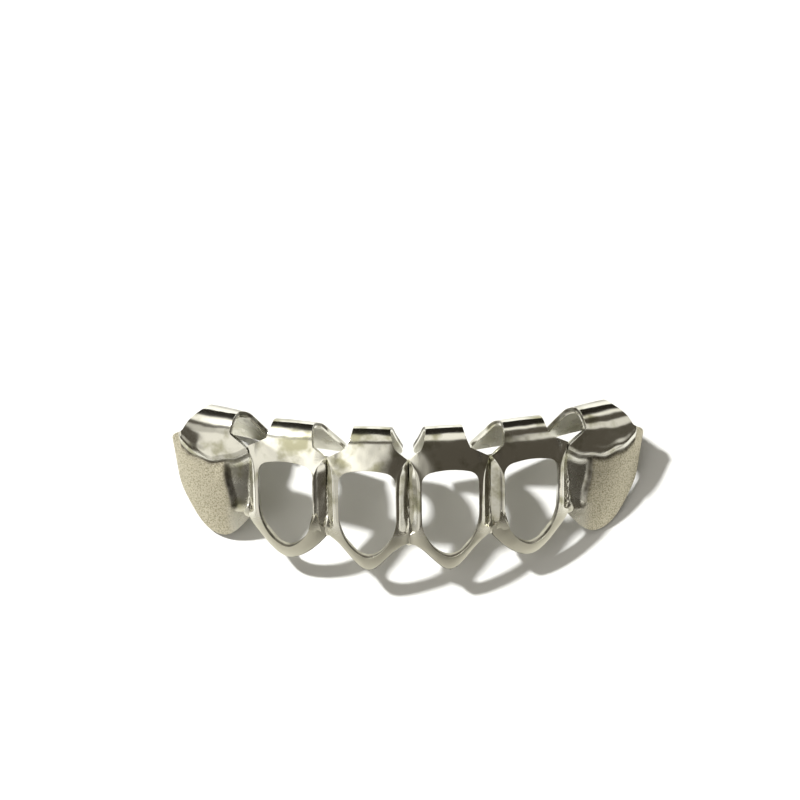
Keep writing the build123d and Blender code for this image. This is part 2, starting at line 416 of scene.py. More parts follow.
@dataclass
class Cap:
    """What the open and the closed caps share: the hook, the two flanks and the place on the arch.

    Where a size is a pair, it is the start and the end of a change: of the chin's satin finish and of
    the groove by run, of the painted shade on the side wall, of the cast inner face and of the back's
    painted shade by depth.
    """

    name: str
    width: float
    turn: float
    centre: Pair
    hook: Hook
    inner: Flank
    outer: Flank
    thickness: float = THICKNESS
    edge_radius: float = 0.09
    shoulder_rise: float = 1.05
    tab_taper: float = 2.2
    chin_satin: Pair = (2.4, 4.4)
    groove_start: Pair = (2.9, 3.3)
    groove_width: Pair = (0.8, 0.65)
    # Depths over which the side walls are darkened with painted shade
    wall_start: Pair = (0.01, 0.07)
    wall_end: Pair = (0.32, 0.4)
    cast_face: Pair = (0.45, 0.57)
    cast_satin: float = 0.6
    back_face: Pair = (-0.4, -0.2)
    # Painted shade on the back of the fold and the plate, and a darker band of it along the fold's crest
    back_shade: float = 0.34
    crest_shade: float = 0.4
    crest_width: float = 0.25
    sharp_angle: float = 38.0
    smoothing: int = 2

    def flank(self, side: int) -> Flank:
        """The outer flank for +1 and the inner one for -1."""
        return self.outer if side > 0 else self.inner

    def tab_reach(self, side: int, run: float) -> float:
        """How far the tab or plate reaches to one side at a run.

        Args:
            side: +1 for the outer flank, -1 for the inner one.
            run: Length along the sheet from the gingival point.

        Returns:
            The distance from the cap's middle.
        """
        flank = self.flank(side)
        base = self.hook.run_to(flank.top + self.shoulder_rise)
        crest = self.hook.crest
        end = self.hook.marks[3]
        if run < crest:
            share = min(max((run - base) / (crest - base), 0.0), 1.0)
            reach = flank.crest + (flank.shoulder - flank.crest) * (1.0 - share) ** self.tab_taper
        else:
            reach = flank.crest + flank.spread * ((run - crest) / (end - crest)) ** flank.flare
        away = max(flank.corner - (end - run), 0.0)
        return reach - flank.corner + math.sqrt(max(flank.corner ** 2 - away ** 2, 0.0))

    def fold(self, piece: Piece, relief: Callable[[float, float], float] | None = None) -> None:
        """Marks how the flat sheet looks, then gives it its relief and folds it.

        Args:
            piece: The flat sheet.
            relief: Height of the relief at a distance across and a height.
        """
        mesh = piece.data
        write_looks(piece, [self.masks(*point.co) for point in mesh.vertices])
        for point in mesh.vertices:
            u, run, depth = point.co
            if relief is not None:
                share = min(max(1.0 + depth / self.thickness, 0.0), 1.0)
                height = self.hook.at(run)[1] if run < self.hook.crest else self.hook.rise + self.hook.height
                depth += relief(u, height) * share
            point.co = self.hook.bend(u, run, depth)
        mesh.update()

    def round_edges(self, piece: Piece) -> None:
        """Rounds the sheet's sharp edges and smooths it."""
        apply_modifier(piece, "BEVEL", width=self.edge_radius, segments=2, limit_method="ANGLE",
                       angle_limit=math.radians(self.sharp_angle))
        apply_modifier(piece, "SUBSURF", levels=self.smoothing, render_levels=self.smoothing)

    def masks(self, u: float, run: float, depth: float) -> Triple:
        """How the metal looks at a point of the flat sheet.

        Args:
            u: Distance across the cap from its middle.
            run: Length along the sheet from the gingival point.
            depth: Height above the outer surface, negative inside the metal.

        Returns:
            How satin, how blasted and how dark with painted shade it is, each from 0 to 1.
        """
        wide, narrow = (self.hook.half - width for width in self.groove_width)
        groove = ramp(abs(u), wide, narrow) * ramp(run, *self.groove_start)
        satin = max(1.0 - ramp(run, *self.chin_satin), self.inside(run, depth))
        # The darkness is painted shade: on the side walls outside the groove, and on the back
        return satin, 0.0, max(self.side_wall(depth) * (1.0 - groove), self.behind(run, depth))

    def side_wall(self, depth: float) -> float:
        """How far a point lies on the side walls of the sheet, which get painted shade."""
        return ramp(-depth, *self.wall_start) * (1.0 - ramp(-depth, *self.wall_end))

    def behind(self, run: float, depth: float) -> float:
        """How much painted shade darkens the plate's back and the top of the fold.

        Args:
            run: Length along the sheet from the gingival point.
            depth: Height above the outer surface, negative inside the metal.

        Returns:
            The painted shade of the back, from 0 to 1.
        """
        crest, width = self.hook.crest, self.crest_width
        painted_shade = self.back_shade * ramp_by(run, crest, (-width, width))
        return (painted_shade + self.crest_shade * hump(run, crest + 0.1, width)) * ramp(depth, *self.back_face)

    def inside(self, run: float, depth: float) -> float:
        """How satin the plate's inner face is, which is left as it was cast."""
        crest = self.hook.crest
        return self.cast_satin * ramp(run, crest, crest + 0.5) * ramp(-depth, *self.cast_face)


@dataclass(frozen=True)
class Skirt:
    """A row of points behind an open cap's rim: its depths, and its insets from the cap's side.

    Without a depth of its own in the groove, it follows the groove's floor.
    """

    chin: float
    notch: float
    groove: float
    contact: float
    notch_lift: float = 0.0
    inset: float = 0.0
    contact_inset: float = 0.0
    contact_drop: float = 0.1


@dataclass
class OpenCap(Cap):
    """An incisor cap with an open front."""

    window_half: float = 2.2
    window_low: float = 1.2
    window_height: float = 7.2
    window_corner: float = 0.9
    window_arch: float = 0.14
    window_point: float = 1.17
    window_bend: float = 0.42
    window_depth: float = 0.68
    ribbon_rise: float = 0.03
    contact_lift: float = 0.3
    chin_curve: float = 1.9
    chin_web: float = 0.93
    chin_roll: float = 0.16
    notch_roll: float = 0.12
    edge_inset: float = 0.1
    edge_drop: float = 0.04
    groove_closing: Triple = (1.35, 1.65, 1.7)
    groove_ends: Pair = (0.14, 0.1)
    groove_depths: Pair = (0.3, 0.42)
    groove_rise: float = 0.1
    # Spans from the groove's foot and from its top
    groove_deepening: Pair = (0.0, 1.5)
    groove_shallowing: Pair = (-1.0, 0.0)
    wall_foot: Skirt = Skirt(0.2, 0.25, 0.0, 0.45, inset=0.12, contact_inset=0.02, contact_drop=0.04)
    flange: Skirt = Skirt(0.72, 1.1, 1.4, 1.3, notch_lift=0.02)
    # Shares of the half width at the chin's steps, and shares of the way at the wall's and the tab's rows
    CHIN: ClassVar[tuple[float, ...]] = (0.0, 0.17, 0.36, 0.56, 0.76, 0.92)
    WALL: ClassVar[tuple[float, ...]] = (0.14, 0.86, 1.0)
    TAB: ClassVar[tuple[float, ...]] = (0.07, 0.16, 0.26, 0.36, 0.46, 0.56, 0.67, 0.78, 0.88, 0.94, 0.98, 1.0)

    def column(self, index: int) -> tuple[int, int]:
        """Side and step, from the gingival point to the top, of a column."""
        return (1, index) if index <= Step.TOP else (-1, 2 * Step.TOP - index)

    def flat(self, u: float, height: float, depth: float = 0.0) -> Vector:
        """A point of the flat sheet from its distance across, its height when folded, and its depth."""
        return Vector((u, self.hook.run_to(height), depth))

    def outline(self, side: int, share: float) -> Pair:
        """Distance across and height on the lower outline, from the gingival point to the notch."""
        climb = between(share ** self.chin_curve, ramp(share, 0.0, self.chin_web), self.flank(side).chin)
        return side * self.hook.half * share, between(self.hook.rise, self.flank(side).notch, climb)

    def window(self, index: int) -> Vector:
        """Edge of the window.

        Args:
            index: Column of the point.

        Returns:
            The point in the flat sheet.
        """
        side, step = self.column(index)
        low = self.hook.rise + self.window_low
        high = low + self.window_height
        bend = between(low, high, self.window_bend)
        brow = high - self.window_arch
        corner = self.window_corner
        if step <= Step.WINDOW_FOOT:
            angle = math.radians(90.0) * step / Step.WINDOW_FOOT
            u = self.window_half * math.sin(angle) ** self.window_point
            z = bend - (bend - low) * math.cos(angle) ** self.window_point
        elif step <= Step.WINDOW_SIDE:
            share = (step - Step.WINDOW_FOOT) / (Step.WINDOW_SIDE - Step.WINDOW_FOOT)
            u, z = self.window_half, between(bend, brow - corner, share)
        elif step <= Step.WINDOW_CORNER:
            angle = math.radians(90.0) * (step - Step.WINDOW_SIDE) / (Step.WINDOW_CORNER - Step.WINDOW_SIDE)
            u = self.window_half - corner * (1 - math.cos(angle))
            z = brow - corner * (1 - math.sin(angle))
        else:
            share = (step - Step.WINDOW_CORNER) / (Step.TOP - Step.WINDOW_CORNER)
            u = (self.window_half - corner) * (1 - share)
            z = between(high, brow, (1 - share) ** 2)
        return self.flat(side * u, z)

    def rim(self, index: int) -> Vector:
        """Outer edge of the front: chin, rim of the groove, shoulder and foot of the tab.

        Args:
            index: Column of the point.

        Returns:
            The point in the flat sheet.
        """
        side, step = self.column(index)
        flank = self.flank(side)
        half = self.hook.half
        groove_rim = half - OVERLAP - flank.groove
        if step <= Step.CHIN:
            point = Vector((*self.outline(side, self.CHIN[step]), 0.0))
            inward = self.window(index)
            toward = Vector((inward.x - point.x, inward.y - point.y, 0.0)).normalized()
            point += toward * self.chin_roll
            return self.flat(point.x, point.y)
        edge = half - self.edge_inset
        if step <= Step.NOTCH:
            z = flank.foot - 0.1 if step == Step.NOTCH else flank.notch + self.notch_roll
            return self.flat(side * edge, z, -self.edge_drop)
        if step <= Step.GROOVE:
            z = self.side_height(step, flank)
            room, length, curve = self.groove_closing
            closing = max((z - flank.top + room) / length, 0.0) ** curve
            return self.flat(side * between(groove_rim, edge, closing), z, -self.edge_drop * closing)
        if step <= Step.SHOULDER:
            share = (step - Step.GROOVE - 1) / (Step.SHOULDER - Step.GROOVE - 1)
            u = between(edge, flank.shoulder, share)
            lift = self.contact_lift * (1 - share)
            return self.flat(side * u, flank.top + lift + self.shoulder_rise * share, -0.1 * (1 - share))
        share = (step - Step.SHOULDER) / (Step.TOP - Step.SHOULDER)
        middle = (self.outer.shoulder - self.inner.shoulder) / 2
        z = between(flank.top, (self.outer.top + self.inner.top) / 2, share) + self.shoulder_rise
        return self.flat(between(side * flank.shoulder, middle, share), z)

    def side_height(self, step: int, flank: Flank) -> float:
        """Height of one step up the groove."""
        share = (step - Step.NOTCH - 1) / (Step.GROOVE - Step.NOTCH - 1)
        return between(flank.foot + self.groove_ends[0], flank.top - self.groove_ends[1], share)

    def between_rings(self, index: int) -> Vector:
        """Middle of the front's ribbon, slightly proud."""
        return (self.window(index) + self.rim(index)) / 2 + Vector((0.0, 0.0, self.ribbon_rise))

    def groove_depth(self, height: float, flank: Flank) -> float:
        """Depth of the groove's floor below the edge of the front."""
        deep = between(*self.groove_depths, ramp_by(height, flank.foot, self.groove_deepening))
        return deep - self.groove_rise * ramp_by(height, flank.top, self.groove_shallowing)

    def skirt(self, index: int, row: Skirt) -> Vector:
        """A point behind the rim: on the chin, at the notch, up the groove or at the contact.

        Args:
            index: Column of the point.
            row: Depths and insets of the row that it is in.

        Returns:
            The point in the flat sheet.
        """
        side, step = self.column(index)
        flank = self.flank(side)
        half = self.hook.half
        if step <= Step.CHIN:
            return self.flat(*self.outline(side, self.CHIN[step]), -row.chin)
        if step <= Step.NOTCH:
            z = flank.foot - 0.06 if step == Step.NOTCH else flank.notch + row.notch_lift
            return self.flat(side * half, z, -row.notch)
        if step <= Step.GROOVE:
            z = self.side_height(step, flank)
            return self.flat(side * (half - row.inset), z, -(row.groove or self.groove_depth(z, flank)))
        z = flank.top + self.contact_lift - row.contact_drop
        return self.flat(side * (half - row.contact_inset), z, -row.contact)

    def wall(self, share: float) -> Callable[[int], Vector]:
        """Places one row of the groove's wall, a share of the way from its rim to its foot."""
        return lambda index: self.rim(index).lerp(self.skirt(index, self.wall_foot), share)

    def tab(self, share: float) -> Callable[[int], Vector]:
        """Places one row across the tab and its plate.

        Args:
            share: How far the row is along the tab, from its foot to the plate's end.

        Returns:
            A function that gives the place of a column's point.
        """
        def spot(index: int) -> Vector:
            """The point of a column in the flat sheet."""
            side, step = self.column(index)
            run = between(self.rim(index).y, self.hook.marks[3], share)
            middle = (self.tab_reach(1, run) - self.tab_reach(-1, run)) / 2
            across = (step - Step.SHOULDER) / (Step.TOP - Step.SHOULDER)
            return Vector((between(side * self.tab_reach(side, run), middle, across), run, 0.0))

        return spot

    def build(self) -> Piece:
        """Models the cap flat, thickens it, rounds its edges and folds it.

        Returns:
            The upright cap, in millimetres.
        """
        count = 2 * Step.TOP
        sheet = Sheet(self.name, count)
        sheet.place(Ring.WINDOW, self.window)
        everywhere = set(range(count))
        sheet.grow(Ring.WINDOW, Ring.MIDDLE, everywhere, self.between_rings)
        sheet.grow(Ring.MIDDLE, Ring.RIM, everywhere, self.rim)
        low = {i for i in everywhere if self.column(i)[1] <= Step.GROOVE + 1}
        source = Ring.RIM
        for ring, share in zip((Ring.WALL_TOP, Ring.WALL_LOW, Ring.WALL_FOOT), self.WALL):
            sheet.grow(source, ring, low, self.wall(share))
            source = ring
        sheet.grow(Ring.WALL_FOOT, Ring.FLANGE, low, lambda index: self.skirt(index, self.flange))
        high = {i for i in everywhere if self.column(i)[1] >= Step.SHOULDER}
        source = Ring.RIM
        for ring, share in enumerate(self.TAB, Ring.TAB):
            sheet.grow(source, ring, high, self.tab(share))
            source = ring
        piece = sheet.close()
        apply_modifier(piece, "SOLIDIFY", thickness=self.thickness, offset=-1.0, use_quality_normals=True)
        self.deepen(piece)
        self.round_edges(piece)
        self.fold(piece)
        return piece

    def deepen(self, piece: Piece) -> None:
        """Makes the front as deep round the window as a cast wall is.

        Args:
            piece: The thickened flat sheet.
        """
        rings = piece.data.attributes["ring"].data
        for point in piece.data.vertices:
            if rings[point.index].value <= Ring.RIM and point.co.z < -self.thickness / 2:
                point.co.z *= self.window_depth / self.thickness


@dataclass
class ClosedCap(Cap):
    """A canine cap with a closed front: a blasted panel, a smooth recess and a hood."""

    sharp_angle: float = 50.0
    smoothing: int = 1
    tip_across: float = -0.17
    across_cells: int = 60
    along_cells: int = 130
    foot_curve: float = 2.14
    inner_foot_curve: float = 1.7
    foot_round: float = 0.75
    foot_power: int = 8
    foot_reach: float = 0.4
    flange_depths: Pair = (0.5, 1.4)
    hood_height: float = 8.0
    hood_sag: float = 0.9
    hood_waves: Pair = (0.06, 3.1)
    hood_end: Pair = (2.45, 3.15)
    hood_end_rise: float = 2.6
    ridge_across: float = -1.75
    ridge_slope: float = 0.13
    ridge_waves: Pair = (0.05, 2.1)
    panel_depth: float = 0.16
    recess_depth: float = 0.26
    # Painted shade that darkens the smooth recess
    recess_shade: float = 0.58
    recess_slope: float = 1.6
    lip_height: float = 0.08
    lip_rise: float = 0.5
    lip_width: float = 0.4
    crease_drop: float = 0.07
    crease_depth: float = 0.07
    crease_width: float = 0.15
    # Width of the painted shade in the crease under the hood, then where and how wide the painted shade along
    # the ridge is
    crease_shade: float = 0.27
    border_inset: float = 0.08
    border_shade: float = 0.28
    foot_satin: float = 0.6
    # Heights at which the recess, the border's shade and the satin of the foot start or end
    recess_foot: Pair = (3.8, 4.55)
    border_foot: Pair = (4.0, 5.6)
    satin_end: Pair = (3.9, 4.4)
    # Below this height the blasting ends at a fixed distance across
    blast_foot: float = 4.3
    blast_foot_side: Pair = (-2.6, -1.4)
    # Spans from the hood's line and from the ridge
    panel_top: Pair = (-0.14, 0.18)
    blast_top: Pair = (-0.15, 0.02)
    recess_top: Pair = (-0.85, 0.05)
    blast_side: Pair = (-0.1, 0.15)
    recess_side: Pair = (-0.4, 0.12)
    # Shares of the way along at the foot's end, the inner shoulder and the fold, and the outer foot's start
    FOOT_SHARE: ClassVar[float] = 0.44
    SHOULDER_SHARE: ClassVar[float] = 0.56
    CREST_SHARE: ClassVar[float] = 0.66
    OUTER_START: ClassVar[float] = 0.46
    # Distance across and height of the points down the outer shoulder
    SHOULDER: ClassVar[tuple[Pair, ...]] = (
        (3.515, 9.0), (3.48, 9.2), (3.3, 9.42), (3.0, 9.58), (2.65, 9.72), (2.35, 9.92),
        (2.2, 10.15), (2.05, 10.45), (1.82, 10.8), (1.5, 11.15), (1.15, 11.45), (0.85, 11.7),
    )

    def edge(self, side: int, share: float) -> Pair:
        """A point on the side outline.

        Args:
            side: +1 for the outer flank, -1 for the inner one.
            share: 0 at the foot, 1 at the end of the plate.

        Returns:
            Distance across and run.
        """
        flank = self.flank(side)
        hook = self.hook
        end = hook.marks[3]
        base = hook.run_to(flank.top + self.shoulder_rise)
        if share <= self.FOOT_SHARE:
            part = share / self.FOOT_SHARE
            if side < 0:
                return -hook.half, hook.run_to(between(flank.notch, flank.top, part))
            tip = self.tip_across * self.width
            along = between(self.OUTER_START, 1.0, part)
            u = between(tip, hook.half, along)
            round_climb = 1.0 - math.sqrt(1.0 - along ** 2)
            climb = between(along ** self.foot_curve, round_climb, self.foot_round * ramp(along, 0.5, 1.0))
            rise = between(hook.rise, flank.notch, climb)
            return u, hook.run_to(between(rise, flank.top, part ** self.foot_power))
        if side > 0 and share <= self.CREST_SHARE:
            part = (share - self.FOOT_SHARE) / (self.CREST_SHARE - self.FOOT_SHARE)
            place = part * (len(self.SHOULDER) - 1)
            i = min(int(place), len(self.SHOULDER) - 2)
            (u0, z0), (u1, z1) = self.SHOULDER[i], self.SHOULDER[i + 1]
            return between(u0, u1, place - i), hook.run_to(between(z0, z1, place - i))
        if side > 0:
            part = (share - self.CREST_SHARE) / (1.0 - self.CREST_SHARE)
            run = between(hook.crest, end, part)
            return self.tab_reach(side, run), run
        if share <= self.SHOULDER_SHARE:
            part = (share - self.FOOT_SHARE) / (self.SHOULDER_SHARE - self.FOOT_SHARE)
            u = between(hook.half, flank.shoulder, part)
            return side * u, between(hook.run_to(flank.top), base, part)
        part = (share - self.SHOULDER_SHARE) / (1.0 - self.SHOULDER_SHARE)
        run = between(base, end, part)
        return side * self.tab_reach(side, run), run

    def foot_line(self, across: float) -> Pair:
        """A point on the lower outline, from the inner notch past the gingival point.

        Args:
            across: 0 at the inner notch, 0.5 at the gingival point and 1 where the outer side starts.

        Returns:
            Distance across and run.
        """
        side, curve = (-1, self.inner_foot_curve) if across <= 0.5 else (1, self.foot_curve)
        share = 1.0 - across / 0.5 if side < 0 else (across - 0.5) / 0.5 * self.OUTER_START
        u = between(self.tip_across * self.width, side * self.hook.half, share)
        return u, self.hook.run_to(between(self.hook.rise, self.flank(side).notch, share ** curve))

    def spot(self, across: float, along: float) -> Vector:
        """Place of a grid point in the flat sheet.

        Args:
            across: 0 on the inner side, 1 on the outer one.
            along: 0 at the foot, 1 at the end of the plate.

        Returns:
            The point in the flat sheet.
        """
        left = Vector(self.edge(-1, along))
        right = Vector(self.edge(1, along))
        point = left.lerp(right, across)
        fade = 1.0 - ramp(along, 0.0, self.foot_reach)
        if fade > 0.0:
            chord = Vector(self.edge(-1, 0.0)).lerp(Vector(self.edge(1, 0.0)), across)
            point += (Vector(self.foot_line(across)) - chord) * fade
        return Vector((point.x, point.y, 0.0))

    def hood_line(self, u: float) -> float:
        """Height of the hood's lower edge."""
        wave, pace = self.hood_waves
        line = self.hood_height + self.hood_sag * ((u + 0.3) / 3.2) ** 2 + wave * math.sin(pace * u)
        return line + self.hood_end_rise * ramp(u, *self.hood_end)

    def ridge(self, height: float) -> float:
        """Distance across of the wavy edge between the blasted panel and the smooth recess."""
        wave, pace = self.ridge_waves
        return self.ridge_across + self.ridge_slope * (height - 6.5) + wave * math.sin(pace * height)

    def recess(self, u: float, height: float) -> float:
        """How far a point lies inside the smooth recess on the inner side.

        Args:
            u: Distance across the cap from its middle.
            height: Height of the point when folded.

        Returns:
            0 outside the recess, 1 well inside it.
        """
        ridge, hood = self.ridge(height), self.hood_line(u)
        under = 1.0 - ramp_by(height, hood, self.recess_top)
        return (1.0 - ramp_by(u, ridge, self.recess_side)) * ramp(height, *self.recess_foot) * under

    def masks(self, u: float, run: float, depth: float) -> Triple:
        """How the metal looks, with the panels, at a point of the flat sheet.

        Args:
            u: Distance across the cap from its middle.
            run: Length along the sheet from the gingival point.
            depth: Height above the outer surface, negative inside the metal.

        Returns:
            How satin, how blasted and how dark with painted shade it is, each from 0 to 1.
        """
        # Painted shade on the side walls and on the back
        wall = max(self.side_wall(depth), self.behind(run, depth))
        if run > self.hook.crest or depth < -self.thickness / 2:
            return self.inside(run, depth), 0.0, wall
        height = self.hook.at(run)[1]
        hood = self.hood_line(u)
        ridge = self.ridge(height)
        under = 1.0 - ramp_by(height, hood, self.blast_top)
        side = ramp_by(u, ridge, self.blast_side)
        blast = under * (side if height > self.blast_foot else ramp(u, *self.blast_foot_side))
        # Painted shade in the crease under the hood, along the ridge's border and inside the recess
        crease = hump(height, hood - self.crease_drop, self.crease_shade)
        ridge_shade = hump(u, ridge - self.border_inset, self.border_shade) * ramp(height, *self.border_foot)
        satin = self.foot_satin * (1.0 - ramp(height, *self.satin_end)) * (1.0 - blast)
        painted_shade = self.recess_shade * self.recess(u, height)
        return satin, blast, max(wall, crease, ridge_shade * under, painted_shade)

    def relief(self, u: float, height: float) -> float:
        """Depth of the panels below the smooth front.

        Args:
            u: Distance across the cap from its middle.
            height: Height of the point when folded.

        Returns:
            The relief, negative below the front.
        """
        hood = self.hood_line(u)
        under = 1.0 - ramp_by(height, hood, self.panel_top)
        lip = self.lip_height * hump(height, hood + self.lip_rise, self.lip_width)
        crease = self.crease_depth * hump(height, hood - self.crease_drop, self.crease_width)
        share = min(max((self.ridge(height) - u) / self.recess_slope, 0.0), 1.0)
        slope = self.panel_depth + self.recess_depth * share
        return lip - self.panel_depth * under - crease - slope * self.recess(u, height)

    def build(self) -> Piece:
        """Models the closed cap from a shaped grid, adds its flange, thickens and folds it.

        Returns:
            The upright cap, in millimetres.
        """
        deselect_all()
        cells = {"x_subdivisions": self.across_cells, "y_subdivisions": self.along_cells}
        bpy.ops.mesh.primitive_grid_add(size=2.0, **cells)
        piece = just_added(self.name)
        for point in piece.data.vertices:
            point.co = self.spot((point.co.x + 1.0) / 2.0, (point.co.y + 1.0) / 2.0)
        bpy.ops.object.mode_set(mode="EDIT")
        bpy.ops.mesh.select_mode(type="EDGE")
        inner_side = -self.hook.half + 0.02
        high = self.hook.run_to(self.inner.top) + 0.01
        for depth in self.flange_depths:
            bpy.ops.mesh.select_all(action="DESELECT")
            mesh = bmesh.from_edit_mesh(piece.data)
            floor = min(p.co.z for p in mesh.verts) + 0.001
            for edge in mesh.edges:
                lowest = all(p.co.x < inner_side and p.co.y < high and p.co.z < floor for p in edge.verts)
                edge.select_set(lowest and edge.is_boundary)
            bmesh.update_edit_mesh(piece.data)
            bpy.ops.mesh.extrude_edges_move()
            mesh = bmesh.from_edit_mesh(piece.data)
            for point in mesh.verts:
                if point.select:
                    point.co.z = -depth
            bmesh.update_edit_mesh(piece.data)
        face_outwards(piece)
        apply_modifier(piece, "SOLIDIFY", thickness=self.thickness, offset=-1.0, use_quality_normals=True)
        self.round_edges(piece)
        self.fold(piece, self.relief)
        return piece


@dataclass
class Seam:
    """A bead of solder at the foot of the groove between two caps."""

    name: str
    point: Pair
    turn: float
    flank: Flank
    hook: Hook
    seed: float
    radius: float = 0.2
    depth: float = 0.67
    groove_depth: float = 0.46
    satin: float = 0.3
    web_satin: float = 0.6
    dullness: float = 0.25
    web_depth: float = 0.08
    web_spread: float = 1.6
    heap_loss: float = 0.45
    lump_stretch: float = 2.4
    lump_heights: Pair = (0.5, 0.3)
    lump_detail: float = 2.7
    # Spans from the groove's foot
    web_end: Pair = (-0.2, 0.5)
    heap_end: Pair = (2.2, 3.4)
    deepening: Pair = (-0.3, 1.5)

    def build(self, side: Side) -> Piece:
        """Stretches and roughens a ball along the groove.

        Args:
            side: Side of the bar that the seam goes to.

        Returns:
            The seam in its place.
        """
        deselect_all()
        bpy.ops.mesh.primitive_uv_sphere_add(segments=20, ring_count=64, radius=1.0)
        piece = just_added(self.name)
        foot = self.flank.foot
        looks = []
        for vertex in piece.data.vertices:
            x, y, z = vertex.co
            along = math.acos(min(max(-z, -1.0), 1.0)) / math.pi
            around = math.atan2(y, x)
            height = between(self.flank.notch - 0.05, self.flank.top - 0.2, along)
            web = 1.0 - ramp_by(height, foot, self.web_end)
            heap = 1.0 - self.heap_loss * ramp_by(height, foot, self.heap_end)
            thick = self.radius * heap * (1.0 - abs(2.0 * along - 1.0) ** 8) ** 0.5
            along_noise = height * self.lump_stretch + 7.0 * self.seed
            lump = Vector((math.cos(around) * 0.5, math.sin(around) * 0.5, along_noise))
            coarse, fine = self.lump_heights
            rough = coarse * noise.noise(lump) + fine * noise.noise(lump * self.lump_detail)
            thick *= 1.0 + rough * (1.0 - 0.8 * web)
            front_y = self.hook.at(self.hook.run_to(height))[0]
            groove = self.groove_depth * ramp_by(height, foot, self.deepening)
            middle = front_y + self.depth + groove + self.web_depth * web
            wide = thick * (1.0 + self.web_spread * web)
            vertex.co = (wide * math.cos(around), middle + thick * math.sin(around), height)
            looks.append((self.satin + self.web_satin * web, 0.0, self.dullness * (1.0 - web)))
        write_looks(piece, looks)
        set_down(piece, self.point, self.turn, side)
        return piece


@dataclass(frozen=True)
class Viewpoint:
    """The camera: where it looks from, in degrees and millimetres, and the pixel of the bar's middle.

    Scale is in pixels for a millimetre, and frame is the picture's width in pixels.
    """

    elevation: float = 76.6
    roll: float = -0.7
    distance: float = 330.0
    scale: float = 12.88
    frame: float = 800.0
    middle: Pair = (408.5, 494.3)
    sensor: float = 36.0

    def make(self) -> Piece:
        """Adds the camera and makes it the scene's own.

        Returns:
            The camera object.
        """
        data = bpy.data.cameras.new("camera")
        camera = bpy.data.objects.new("camera", data)
        bpy.context.scene.collection.objects.link(camera)
        data.sensor_width = self.sensor
        data.lens = self.sensor * self.distance / (self.frame / self.scale)
        data.clip_start = 0.01
        data.clip_end = 10.0
        tilt = math.radians(90.0 - self.elevation)
        turn = Matrix.Rotation(tilt, 4, "X") @ Matrix.Rotation(math.radians(self.roll), 4, "Z")
        across = (self.frame / 2 - self.middle[0]) / self.scale
        along = (self.middle[1] - self.frame / 2) / self.scale
        place = turn @ Vector((across, along, self.distance)) * MM
        camera.matrix_world = Matrix.Translation(place) @ turn
        bpy.context.scene.camera = camera
        return camera


class Graph:
    """Adds shader nodes to one tree."""

    def __init__(self, tree: bpy.types.NodeTree) -> None:
        """Keeps the tree that the nodes go into."""
        self.tree = tree

    def node(self, kind: str, settings: dict[str, object] | None = None,
             **inputs: object) -> dict[str, Socket]:
        """Adds one node.

        Args:
            kind: The node's type, which ShaderNode is put before.
            settings: Its own properties, set before its sockets.
            inputs: Values or links of its sockets, by name with _ for a space, or by i and a number.

        Returns:
            Its output sockets by name.
        """
        made = self.tree.nodes.new(f"ShaderNode{kind}")
        for key, value in (settings or {}).items():
            setattr(made, key, value)
        for key, value in inputs.items():
            found = int(key[1:]) if key[1:].isdigit() else key.replace("_", " ")
            self.feed(made.inputs[found], value)
        return {out.name: Socket(self, out) for out in made.outputs if out.enabled}

    def feed(self, socket: bpy.types.NodeSocket, value: object) -> None:
        """Links a socket or sets its value.

        Args:
            socket: The socket.
            value: A link's start or a constant.
        """
        if isinstance(value, Socket):
            self.tree.links.new(value.socket, socket)
        else:
            socket.default_value = value

    def rise(self, value: Socket, low: float, high: float) -> Socket:
        """A smooth rise from 0 at low to 1 at high."""
        return self.node("MapRange", {"interpolation_type": "SMOOTHSTEP"},
                         Value=value, From_Min=low, From_Max=high)["Result"]

    def grain(self, place: Socket, scale: float, detail: float = 2.0) -> Socket:
        """A noise of about scale features to a unit."""
        return self.node("TexNoise", Vector=place, Scale=scale, Detail=detail)["Fac"]

    def mix(self, share: Socket, first: object, second: object) -> Socket:
        """A colour a share of the way from the first to the second, each a socket or a named colour."""
        first, second = (c if isinstance(c, Socket) else (*c, 1.0) for c in (first, second))
        return self.node("Mix", {"data_type": "RGBA"}, i0=share, i6=first, i7=second)["Result"]


class Socket:
    """A shader value that can be used in sums."""

    def __init__(self, graph: Graph, socket: bpy.types.NodeSocket) -> None:
        """Keeps the graph and the socket."""
        self.graph = graph
        self.socket = socket

    def maths(self, operation: str, first: object, second: object = 0.0) -> Socket:
        """Adds one Math node."""
        return self.graph.node("Math", {"operation": operation}, i0=first, i1=second)["Value"]

    def __add__(self, other: object) -> Socket:
        """The sum."""
        return self.maths("ADD", self, other)

    __radd__ = __add__

    def __mul__(self, other: object) -> Socket:
        """The product."""
        return self.maths("MULTIPLY", self, other)

    __rmul__ = __mul__

    def __sub__(self, other: object) -> Socket:
        """The difference."""
        return self.maths("SUBTRACT", self, other)

    def __rsub__(self, other: object) -> Socket:
        """The difference, the other way round."""
        return self.maths("SUBTRACT", other, self)


